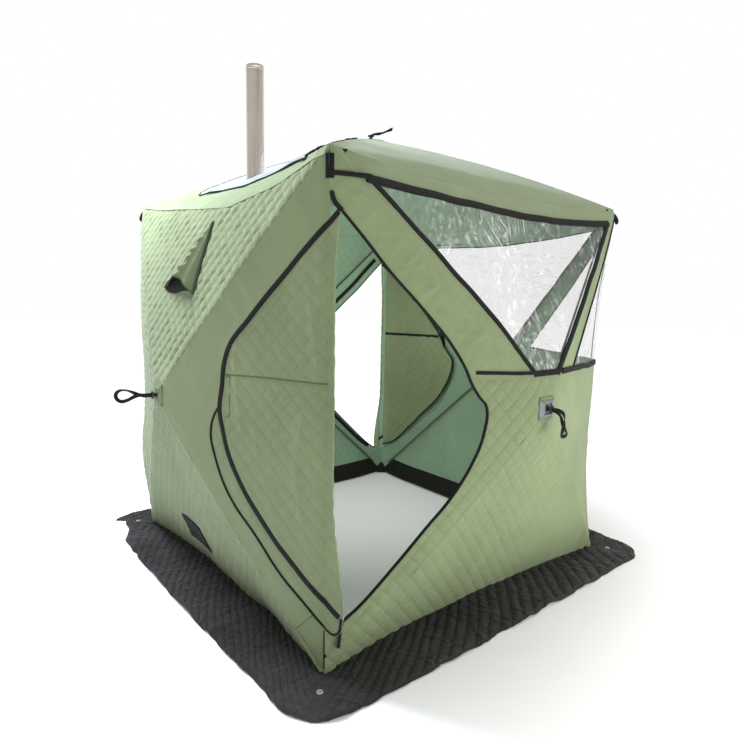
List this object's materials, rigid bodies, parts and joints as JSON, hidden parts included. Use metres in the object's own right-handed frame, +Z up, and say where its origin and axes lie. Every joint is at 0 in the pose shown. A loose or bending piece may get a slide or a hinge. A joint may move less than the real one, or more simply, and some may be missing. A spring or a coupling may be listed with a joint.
{
  "type": "pop-up sauna tent",
  "caption": "Cube pop-up sauna tent with five hub-and-pole faces, two corner doors, clear windows, snow skirt and a stovepipe.",
  "frame": {"origin": "on the ground under the middle of the tent, which is the bottom centre of its box", "axes": "+Z up; -X faces out of the left wall with the vent hood, -Y out of the right wall with the main window; the front door is at the corner where -X and -Y meet"},
  "size_m": [2.6774, 2.5078, 2.332],
  "materials": {
    "quilted_fabric": "matt",
    "window_film": "clear, glossy",
    "skirt_fabric": "matt",
    "seam_piping": "matt",
    "hub_plastic": "satin",
    "pole_fibreglass": "satin",
    "pipe_steel": "brushed",
    "fireproof_fabric": "matt",
    "collar_silicone": "matt"
  },
  "bodies": {
    "root": {"seam_piping_frame": "seam_piping", "snow_skirt_left": "skirt_fabric", "snow_skirt_right": "skirt_fabric", "snow_skirt_rear_right": "skirt_fabric", "snow_skirt_rear_left": "skirt_fabric"},
    "hub_left_body": {"hub_left": "hub_plastic"},
    "pole_left_upper_right_body": {"pole_left_upper_right": "pole_fibreglass"},
    "pole_left_upper_left_body": {"pole_left_upper_left": "pole_fibreglass"},
    "pole_left_lower_left_body": {"pole_left_lower_left": "pole_fibreglass"},
    "pole_left_lower_right_body": {"pole_left_lower_right": "pole_fibreglass"},
    "panel_left_top_body": {"panel_left_top": "quilted_fabric", "vent_hood": "quilted_fabric"},
    "panel_left_bottom_body": {"panel_left_bottom": "quilted_fabric"},
    "panel_left_corner_body": {"panel_left_corner": "quilted_fabric"},
    "panel_left_door_body": {"panel_left_door": "quilted_fabric", "door_front_fixed_half": "quilted_fabric"},
    "hub_right_body": {"hub_right": "hub_plastic"},
    "pole_right_upper_right_body": {"pole_right_upper_right": "pole_fibreglass"},
    "pole_right_upper_left_body": {"pole_right_upper_left": "pole_fibreglass"},
    "pole_right_lower_left_body": {"pole_right_lower_left": "pole_fibreglass"},
    "pole_right_lower_right_body": {"pole_right_lower_right": "pole_fibreglass"},
    "panel_right_top_body": {"panel_right_top": "quilted_fabric", "window_film_right": "window_film"},
    "panel_right_bottom_body": {"panel_right_bottom": "quilted_fabric"},
    "panel_right_door_body": {"panel_right_door": "quilted_fabric"},
    "panel_right_corner_body": {"panel_right_corner": "quilted_fabric"},
    "hub_rear_right_body": {"hub_rear_right": "hub_plastic"},
    "pole_rear_right_upper_right_body": {"pole_rear_right_upper_right": "pole_fibreglass"},
    "pole_rear_right_upper_left_body": {"pole_rear_right_upper_left": "pole_fibreglass"},
    "pole_rear_right_lower_left_body": {"pole_rear_right_lower_left": "pole_fibreglass"},
    "pole_rear_right_lower_right_body": {"pole_rear_right_lower_right": "pole_fibreglass"},
    "panel_rear_right_top_body": {"panel_rear_right_top": "quilted_fabric", "window_film_rear_right": "window_film"},
    "panel_rear_right_bottom_body": {"panel_rear_right_bottom": "quilted_fabric"},
    "panel_rear_right_corner_body": {"panel_rear_right_corner": "quilted_fabric"},
    "panel_rear_right_door_body": {"panel_rear_right_door": "quilted_fabric", "door_rear_fixed_half": "quilted_fabric"},
    "hub_rear_left_body": {"hub_rear_left": "hub_plastic"},
    "pole_rear_left_upper_right_body": {"pole_rear_left_upper_right": "pole_fibreglass"},
    "pole_rear_left_upper_left_body": {"pole_rear_left_upper_left": "pole_fibreglass"},
    "pole_rear_left_lower_left_body": {"pole_rear_left_lower_left": "pole_fibreglass"},
    "pole_rear_left_lower_right_body": {"pole_rear_left_lower_right": "pole_fibreglass"},
    "panel_rear_left_top_body": {"panel_rear_left_top": "quilted_fabric"},
    "panel_rear_left_bottom_body": {"panel_rear_left_bottom": "quilted_fabric"},
    "panel_rear_left_door_body": {"panel_rear_left_door": "quilted_fabric"},
    "panel_rear_left_corner_body": {"panel_rear_left_corner": "quilted_fabric"},
    "hub_roof_body": {"hub_roof": "hub_plastic"},
    "pole_roof_rear_body": {"pole_roof_rear": "pole_fibreglass"},
    "pole_roof_far_left_body": {"pole_roof_far_left": "pole_fibreglass"},
    "pole_roof_front_body": {"pole_roof_front": "pole_fibreglass"},
    "pole_roof_far_right_body": {"pole_roof_far_right": "pole_fibreglass"},
    "panel_roof_rear_left_body": {"panel_roof_rear_left": "quilted_fabric"},
    "panel_roof_right_body": {"panel_roof_right": "quilted_fabric"},
    "panel_roof_left_body": {"panel_roof_left": "quilted_fabric", "fireproof_panel": "fireproof_fabric", "flue_collar": "collar_silicone"},
    "panel_roof_rear_right_body": {"panel_roof_rear_right": "quilted_fabric"},
    "door_front_swing_body": {"door_front_swing_half": "quilted_fabric"},
    "door_rear_swing_body": {"door_rear_swing_half": "quilted_fabric"},
    "stovepipe_body": {"stovepipe": "pipe_steel"}
  },
  "joints": [
    {"name": "hub_left_push", "type": "slide", "parent": "root", "child": "hub_left_body", "axis": [-1, 0, 0], "range_m": [-0.53, 0]},
    {"name": "pole_left_upper_right_pin", "type": "hinge", "parent": "hub_left_body", "child": "pole_left_upper_right_body", "pos_m": [-1.138, -0.02104, 0.94639], "axis": [0, 0.7129, 0.7012], "range_deg": [-23.38, 0]},
    {"name": "pole_left_upper_left_pin", "type": "hinge", "parent": "hub_left_body", "child": "pole_left_upper_left_body", "pos_m": [-1.138, 0.02104, 0.94639], "axis": [0, 0.7129, -0.7012], "range_deg": [-23.38, 0]},
    {"name": "pole_left_lower_left_pin", "type": "hinge", "parent": "hub_left_body", "child": "pole_left_lower_left_body", "pos_m": [-1.138, 0.02104, 0.90361], "axis": [0, -0.7129, -0.7012], "range_deg": [-23.38, 0]},
    {"name": "pole_left_lower_right_pin", "type": "hinge", "parent": "hub_left_body", "child": "pole_left_lower_right_body", "pos_m": [-1.138, -0.02104, 0.90361], "axis": [0, -0.7129, 0.7012], "range_deg": [-23.38, 0]},
    {"name": "panel_left_top_seam", "type": "hinge", "parent": "root", "child": "panel_left_top_body", "pos_m": [-0.9, 0, 1.84], "axis": [0, 1, 0], "range_deg": [-32.35, 0]},
    {"name": "panel_left_bottom_seam", "type": "hinge", "parent": "root", "child": "panel_left_bottom_body", "pos_m": [-0.9, 0, 0.01], "axis": [0, -1, 0], "range_deg": [-32.35, 0]},
    {"name": "panel_left_corner_seam", "type": "hinge", "parent": "root", "child": "panel_left_corner_body", "pos_m": [-0.9, 0.9, 0.925], "axis": [0, 0, -1], "range_deg": [-32.86, 0]},
    {"name": "panel_left_door_seam", "type": "hinge", "parent": "root", "child": "panel_left_door_body", "pos_m": [-0.9, -0.9, 0.925], "axis": [0, 0, 1], "range_deg": [-32.86, 0]},
    {"name": "hub_right_push", "type": "slide", "parent": "root", "child": "hub_right_body", "axis": [0, -1, 0], "range_m": [-0.53, 0]},
    {"name": "pole_right_upper_right_pin", "type": "hinge", "parent": "hub_right_body", "child": "pole_right_upper_right_body", "pos_m": [0.02104, -1.138, 0.94639], "axis": [-0.7129, 0, 0.7012], "range_deg": [-23.38, 0]},
    {"name": "pole_right_upper_left_pin", "type": "hinge", "parent": "hub_right_body", "child": "pole_right_upper_left_body", "pos_m": [-0.02104, -1.138, 0.94639], "axis": [-0.7129, 0, -0.7012], "range_deg": [-23.38, 0]},
    {"name": "pole_right_lower_left_pin", "type": "hinge", "parent": "hub_right_body", "child": "pole_right_lower_left_body", "pos_m": [-0.02104, -1.138, 0.90361], "axis": [0.7129, 0, -0.7012], "range_deg": [-23.38, 0]},
    {"name": "pole_right_lower_right_pin", "type": "hinge", "parent": "hub_right_body", "child": "pole_right_lower_right_body", "pos_m": [0.02104, -1.138, 0.90361], "axis": [0.7129, 0, 0.7012], "range_deg": [-23.38, 0]},
    {"name": "panel_right_top_seam", "type": "hinge", "parent": "root", "child": "panel_right_top_body", "pos_m": [0, -0.9, 1.84], "axis": [-1, 0, 0], "range_deg": [-32.35, 0]},
    {"name": "panel_right_bottom_seam", "type": "hinge", "parent": "root", "child": "panel_right_bottom_body", "pos_m": [0, -0.9, 0.01], "axis": [1, 0, 0], "range_deg": [-32.35, 0]},
    {"name": "panel_right_door_seam", "type": "hinge", "parent": "root", "child": "panel_right_door_body", "pos_m": [-0.9, -0.9, 0.925], "axis": [0, 0, -1], "range_deg": [-32.86, 0]},
    {"name": "panel_right_corner_seam", "type": "hinge", "parent": "root", "child": "panel_right_corner_body", "pos_m": [0.9, -0.9, 0.925], "axis": [0, 0, 1], "range_deg": [-32.86, 0]},
    {"name": "hub_rear_right_push", "type": "slide", "parent": "root", "child": "hub_rear_right_body", "axis": [1, 0, 0], "range_m": [-0.53, 0]},
    {"name": "pole_rear_right_upper_right_pin", "type": "hinge", "parent": "hub_rear_right_body", "child": "pole_rear_right_upper_right_body", "pos_m": [1.138, 0.02104, 0.94639], "axis": [0, -0.7129, 0.7012], "range_deg": [-23.38, 0]},
    {"name": "pole_rear_right_upper_left_pin", "type": "hinge", "parent": "hub_rear_right_body", "child": "pole_rear_right_upper_left_body", "pos_m": [1.138, -0.02104, 0.94639], "axis": [0, -0.7129, -0.7012], "range_deg": [-23.38, 0]},
    {"name": "pole_rear_right_lower_left_pin", "type": "hinge", "parent": "hub_rear_right_body", "child": "pole_rear_right_lower_left_body", "pos_m": [1.138, -0.02104, 0.90361], "axis": [0, 0.7129, -0.7012], "range_deg": [-23.38, 0]},
    {"name": "pole_rear_right_lower_right_pin", "type": "hinge", "parent": "hub_rear_right_body", "child": "pole_rear_right_lower_right_body", "pos_m": [1.138, 0.02104, 0.90361], "axis": [0, 0.7129, 0.7012], "range_deg": [-23.38, 0]},
    {"name": "panel_rear_right_top_seam", "type": "hinge", "parent": "root", "child": "panel_rear_right_top_body", "pos_m": [0.9, 0, 1.84], "axis": [0, -1, 0], "range_deg": [-32.35, 0]},
    {"name": "panel_rear_right_bottom_seam", "type": "hinge", "parent": "root", "child": "panel_rear_right_bottom_body", "pos_m": [0.9, 0, 0.01], "axis": [0, 1, 0], "range_deg": [-32.35, 0]},
    {"name": "panel_rear_right_corner_seam", "type": "hinge", "parent": "root", "child": "panel_rear_right_corner_body", "pos_m": [0.9, -0.9, 0.925], "axis": [0, 0, -1], "range_deg": [-32.86, 0]},
    {"name": "panel_rear_right_door_seam", "type": "hinge", "parent": "root", "child": "panel_rear_right_door_body", "pos_m": [0.9, 0.9, 0.925], "axis": [0, 0, 1], "range_deg": [-32.86, 0]},
    {"name": "hub_rear_left_push", "type": "slide", "parent": "root", "child": "hub_rear_left_body", "axis": [0, 1, 0], "range_m": [-0.53, 0]},
    {"name": "pole_rear_left_upper_right_pin", "type": "hinge", "parent": "hub_rear_left_body", "child": "pole_rear_left_upper_right_body", "pos_m": [-0.02104, 1.138, 0.94639], "axis": [0.7129, 0, 0.7012], "range_deg": [-23.38, 0]},
    {"name": "pole_rear_left_upper_left_pin", "type": "hinge", "parent": "hub_rear_left_body", "child": "pole_rear_left_upper_left_body", "pos_m": [0.02104, 1.138, 0.94639], "axis": [0.7129, 0, -0.7012], "range_deg": [-23.38, 0]},
    {"name": "pole_rear_left_lower_left_pin", "type": "hinge", "parent": "hub_rear_left_body", "child": "pole_rear_left_lower_left_body", "pos_m": [0.02104, 1.138, 0.90361], "axis": [-0.7129, 0, -0.7012], "range_deg": [-23.38, 0]},
    {"name": "pole_rear_left_lower_right_pin", "type": "hinge", "parent": "hub_rear_left_body", "child": "pole_rear_left_lower_right_body", "pos_m": [-0.02104, 1.138, 0.90361], "axis": [-0.7129, 0, 0.7012], "range_deg": [-23.38, 0]},
    {"name": "panel_rear_left_top_seam", "type": "hinge", "parent": "root", "child": "panel_rear_left_top_body", "pos_m": [0, 0.9, 1.84], "axis": [1, 0, 0], "range_deg": [-32.35, 0]},
    {"name": "panel_rear_left_bottom_seam", "type": "hinge", "parent": "root", "child": "panel_rear_left_bottom_body", "pos_m": [0, 0.9, 0.01], "axis": [-1, 0, 0], "range_deg": [-32.35, 0]},
    {"name": "panel_rear_left_door_seam", "type": "hinge", "parent": "root", "child": "panel_rear_left_door_body", "pos_m": [0.9, 0.9, 0.925], "axis": [0, 0, -1], "range_deg": [-32.86, 0]},
    {"name": "panel_rear_left_corner_seam", "type": "hinge", "parent": "root", "child": "panel_rear_left_corner_body", "pos_m": [-0.9, 0.9, 0.925], "axis": [0, 0, 1], "range_deg": [-32.86, 0]},
    {"name": "hub_roof_push", "type": "slide", "parent": "root", "child": "hub_roof_body", "axis": [0, 0, 1], "range_m": [-0.72, 0]},
    {"name": "pole_roof_rear_pin", "type": "hinge", "parent": "hub_roof_body", "child": "pole_roof_rear_body", "pos_m": [0.02121, 0.02121, 2.173], "axis": [-0.7071, 0.7071, 0], "range_deg": [-31.64, 0]},
    {"name": "pole_roof_far_left_pin", "type": "hinge", "parent": "hub_roof_body", "child": "pole_roof_far_left_body", "pos_m": [-0.02121, 0.02121, 2.173], "axis": [-0.7071, -0.7071, 0], "range_deg": [-31.64, 0]},
    {"name": "pole_roof_front_pin", "type": "hinge", "parent": "hub_roof_body", "child": "pole_roof_front_body", "pos_m": [-0.02121, -0.02121, 2.173], "axis": [0.7071, -0.7071, 0], "range_deg": [-31.64, 0]},
    {"name": "pole_roof_far_right_pin", "type": "hinge", "parent": "hub_roof_body", "child": "pole_roof_far_right_body", "pos_m": [0.02121, -0.02121, 2.173], "axis": [0.7071, 0.7071, 0], "range_deg": [-31.64, 0]},
    {"name": "panel_roof_rear_left_seam", "type": "hinge", "parent": "root", "child": "panel_roof_rear_left_body", "pos_m": [0, 0.9, 1.84], "axis": [-1, 0, 0], "range_deg": [-43.65, 0]},
    {"name": "panel_roof_right_seam", "type": "hinge", "parent": "root", "child": "panel_roof_right_body", "pos_m": [0, -0.9, 1.84], "axis": [1, 0, 0], "range_deg": [-43.65, 0]},
    {"name": "panel_roof_left_seam", "type": "hinge", "parent": "root", "child": "panel_roof_left_body", "pos_m": [-0.9, 0, 1.84], "axis": [0, -1, 0], "range_deg": [-43.65, 0]},
    {"name": "panel_roof_rear_right_seam", "type": "hinge", "parent": "root", "child": "panel_roof_rear_right_body", "pos_m": [0.9, 0, 1.84], "axis": [0, 1, 0], "range_deg": [-43.65, 0]},
    {"name": "door_front_swing", "type": "hinge", "parent": "panel_left_door_body", "child": "door_front_swing_body", "pos_m": [-0.9, -0.9, 0.925], "axis": [0, 0, -1], "range_deg": [0, 118.81]},
    {"name": "door_rear_swing", "type": "hinge", "parent": "panel_rear_right_door_body", "child": "door_rear_swing_body", "pos_m": [0.9, 0.9, 0.925], "axis": [0, 0, -1], "range_deg": [0, 118.81]},
    {"name": "stovepipe_lift", "type": "slide", "parent": "panel_roof_left_body", "child": "stovepipe_body", "axis": [0, 0, 1], "range_m": [0, 0.2]}
  ],
  "couplings": [
    {"joint": "pole_left_upper_right_pin", "follows": "hub_left_push", "rad_per_m": 0.76836},
    {"joint": "pole_left_upper_left_pin", "follows": "hub_left_push", "rad_per_m": 0.76836},
    {"joint": "pole_left_lower_left_pin", "follows": "hub_left_push", "rad_per_m": 0.76836},
    {"joint": "pole_left_lower_right_pin", "follows": "hub_left_push", "rad_per_m": 0.76836},
    {"joint": "panel_left_top_seam", "follows": "hub_left_push", "rad_per_m": 1.0638},
    {"joint": "panel_left_bottom_seam", "follows": "hub_left_push", "rad_per_m": 1.0638},
    {"joint": "panel_left_corner_seam", "follows": "hub_left_push", "rad_per_m": 1.0806},
    {"joint": "panel_left_door_seam", "follows": "hub_left_push", "rad_per_m": 1.0806},
    {"joint": "pole_right_upper_right_pin", "follows": "hub_right_push", "rad_per_m": 0.76836},
    {"joint": "pole_right_upper_left_pin", "follows": "hub_right_push", "rad_per_m": 0.76836},
    {"joint": "pole_right_lower_left_pin", "follows": "hub_right_push", "rad_per_m": 0.76836},
    {"joint": "pole_right_lower_right_pin", "follows": "hub_right_push", "rad_per_m": 0.76836},
    {"joint": "panel_right_top_seam", "follows": "hub_right_push", "rad_per_m": 1.0638},
    {"joint": "panel_right_bottom_seam", "follows": "hub_right_push", "rad_per_m": 1.0638},
    {"joint": "panel_right_door_seam", "follows": "hub_right_push", "rad_per_m": 1.0806},
    {"joint": "panel_right_corner_seam", "follows": "hub_right_push", "rad_per_m": 1.0806},
    {"joint": "pole_rear_right_upper_right_pin", "follows": "hub_rear_right_push", "rad_per_m": 0.76836},
    {"joint": "pole_rear_right_upper_left_pin", "follows": "hub_rear_right_push", "rad_per_m": 0.76836},
    {"joint": "pole_rear_right_lower_left_pin", "follows": "hub_rear_right_push", "rad_per_m": 0.76836},
    {"joint": "pole_rear_right_lower_right_pin", "follows": "hub_rear_right_push", "rad_per_m": 0.76836},
    {"joint": "panel_rear_right_top_seam", "follows": "hub_rear_right_push", "rad_per_m": 1.0638},
    {"joint": "panel_rear_right_bottom_seam", "follows": "hub_rear_right_push", "rad_per_m": 1.0638},
    {"joint": "panel_rear_right_corner_seam", "follows": "hub_rear_right_push", "rad_per_m": 1.0806},
    {"joint": "panel_rear_right_door_seam", "follows": "hub_rear_right_push", "rad_per_m": 1.0806},
    {"joint": "pole_rear_left_upper_right_pin", "follows": "hub_rear_left_push", "rad_per_m": 0.76836},
    {"joint": "pole_rear_left_upper_left_pin", "follows": "hub_rear_left_push", "rad_per_m": 0.76836},
    {"joint": "pole_rear_left_lower_left_pin", "follows": "hub_rear_left_push", "rad_per_m": 0.76836},
    {"joint": "pole_rear_left_lower_right_pin", "follows": "hub_rear_left_push", "rad_per_m": 0.76836},
    {"joint": "panel_rear_left_top_seam", "follows": "hub_rear_left_push", "rad_per_m": 1.0638},
    {"joint": "panel_rear_left_bottom_seam", "follows": "hub_rear_left_push", "rad_per_m": 1.0638},
    {"joint": "panel_rear_left_door_seam", "follows": "hub_rear_left_push", "rad_per_m": 1.0806},
    {"joint": "panel_rear_left_corner_seam", "follows": "hub_rear_left_push", "rad_per_m": 1.0806},
    {"joint": "pole_roof_rear_pin", "follows": "hub_roof_push", "rad_per_m": 0.76567},
    {"joint": "pole_roof_far_left_pin", "follows": "hub_roof_push", "rad_per_m": 0.76567},
    {"joint": "pole_roof_front_pin", "follows": "hub_roof_push", "rad_per_m": 0.76567},
    {"joint": "pole_roof_far_right_pin", "follows": "hub_roof_push", "rad_per_m": 0.76567},
    {"joint": "panel_roof_rear_left_seam", "follows": "hub_roof_push", "rad_per_m": 1.057},
    {"joint": "panel_roof_right_seam", "follows": "hub_roof_push", "rad_per_m": 1.057},
    {"joint": "panel_roof_left_seam", "follows": "hub_roof_push", "rad_per_m": 1.057},
    {"joint": "panel_roof_rear_right_seam", "follows": "hub_roof_push", "rad_per_m": 1.057}
  ]
}
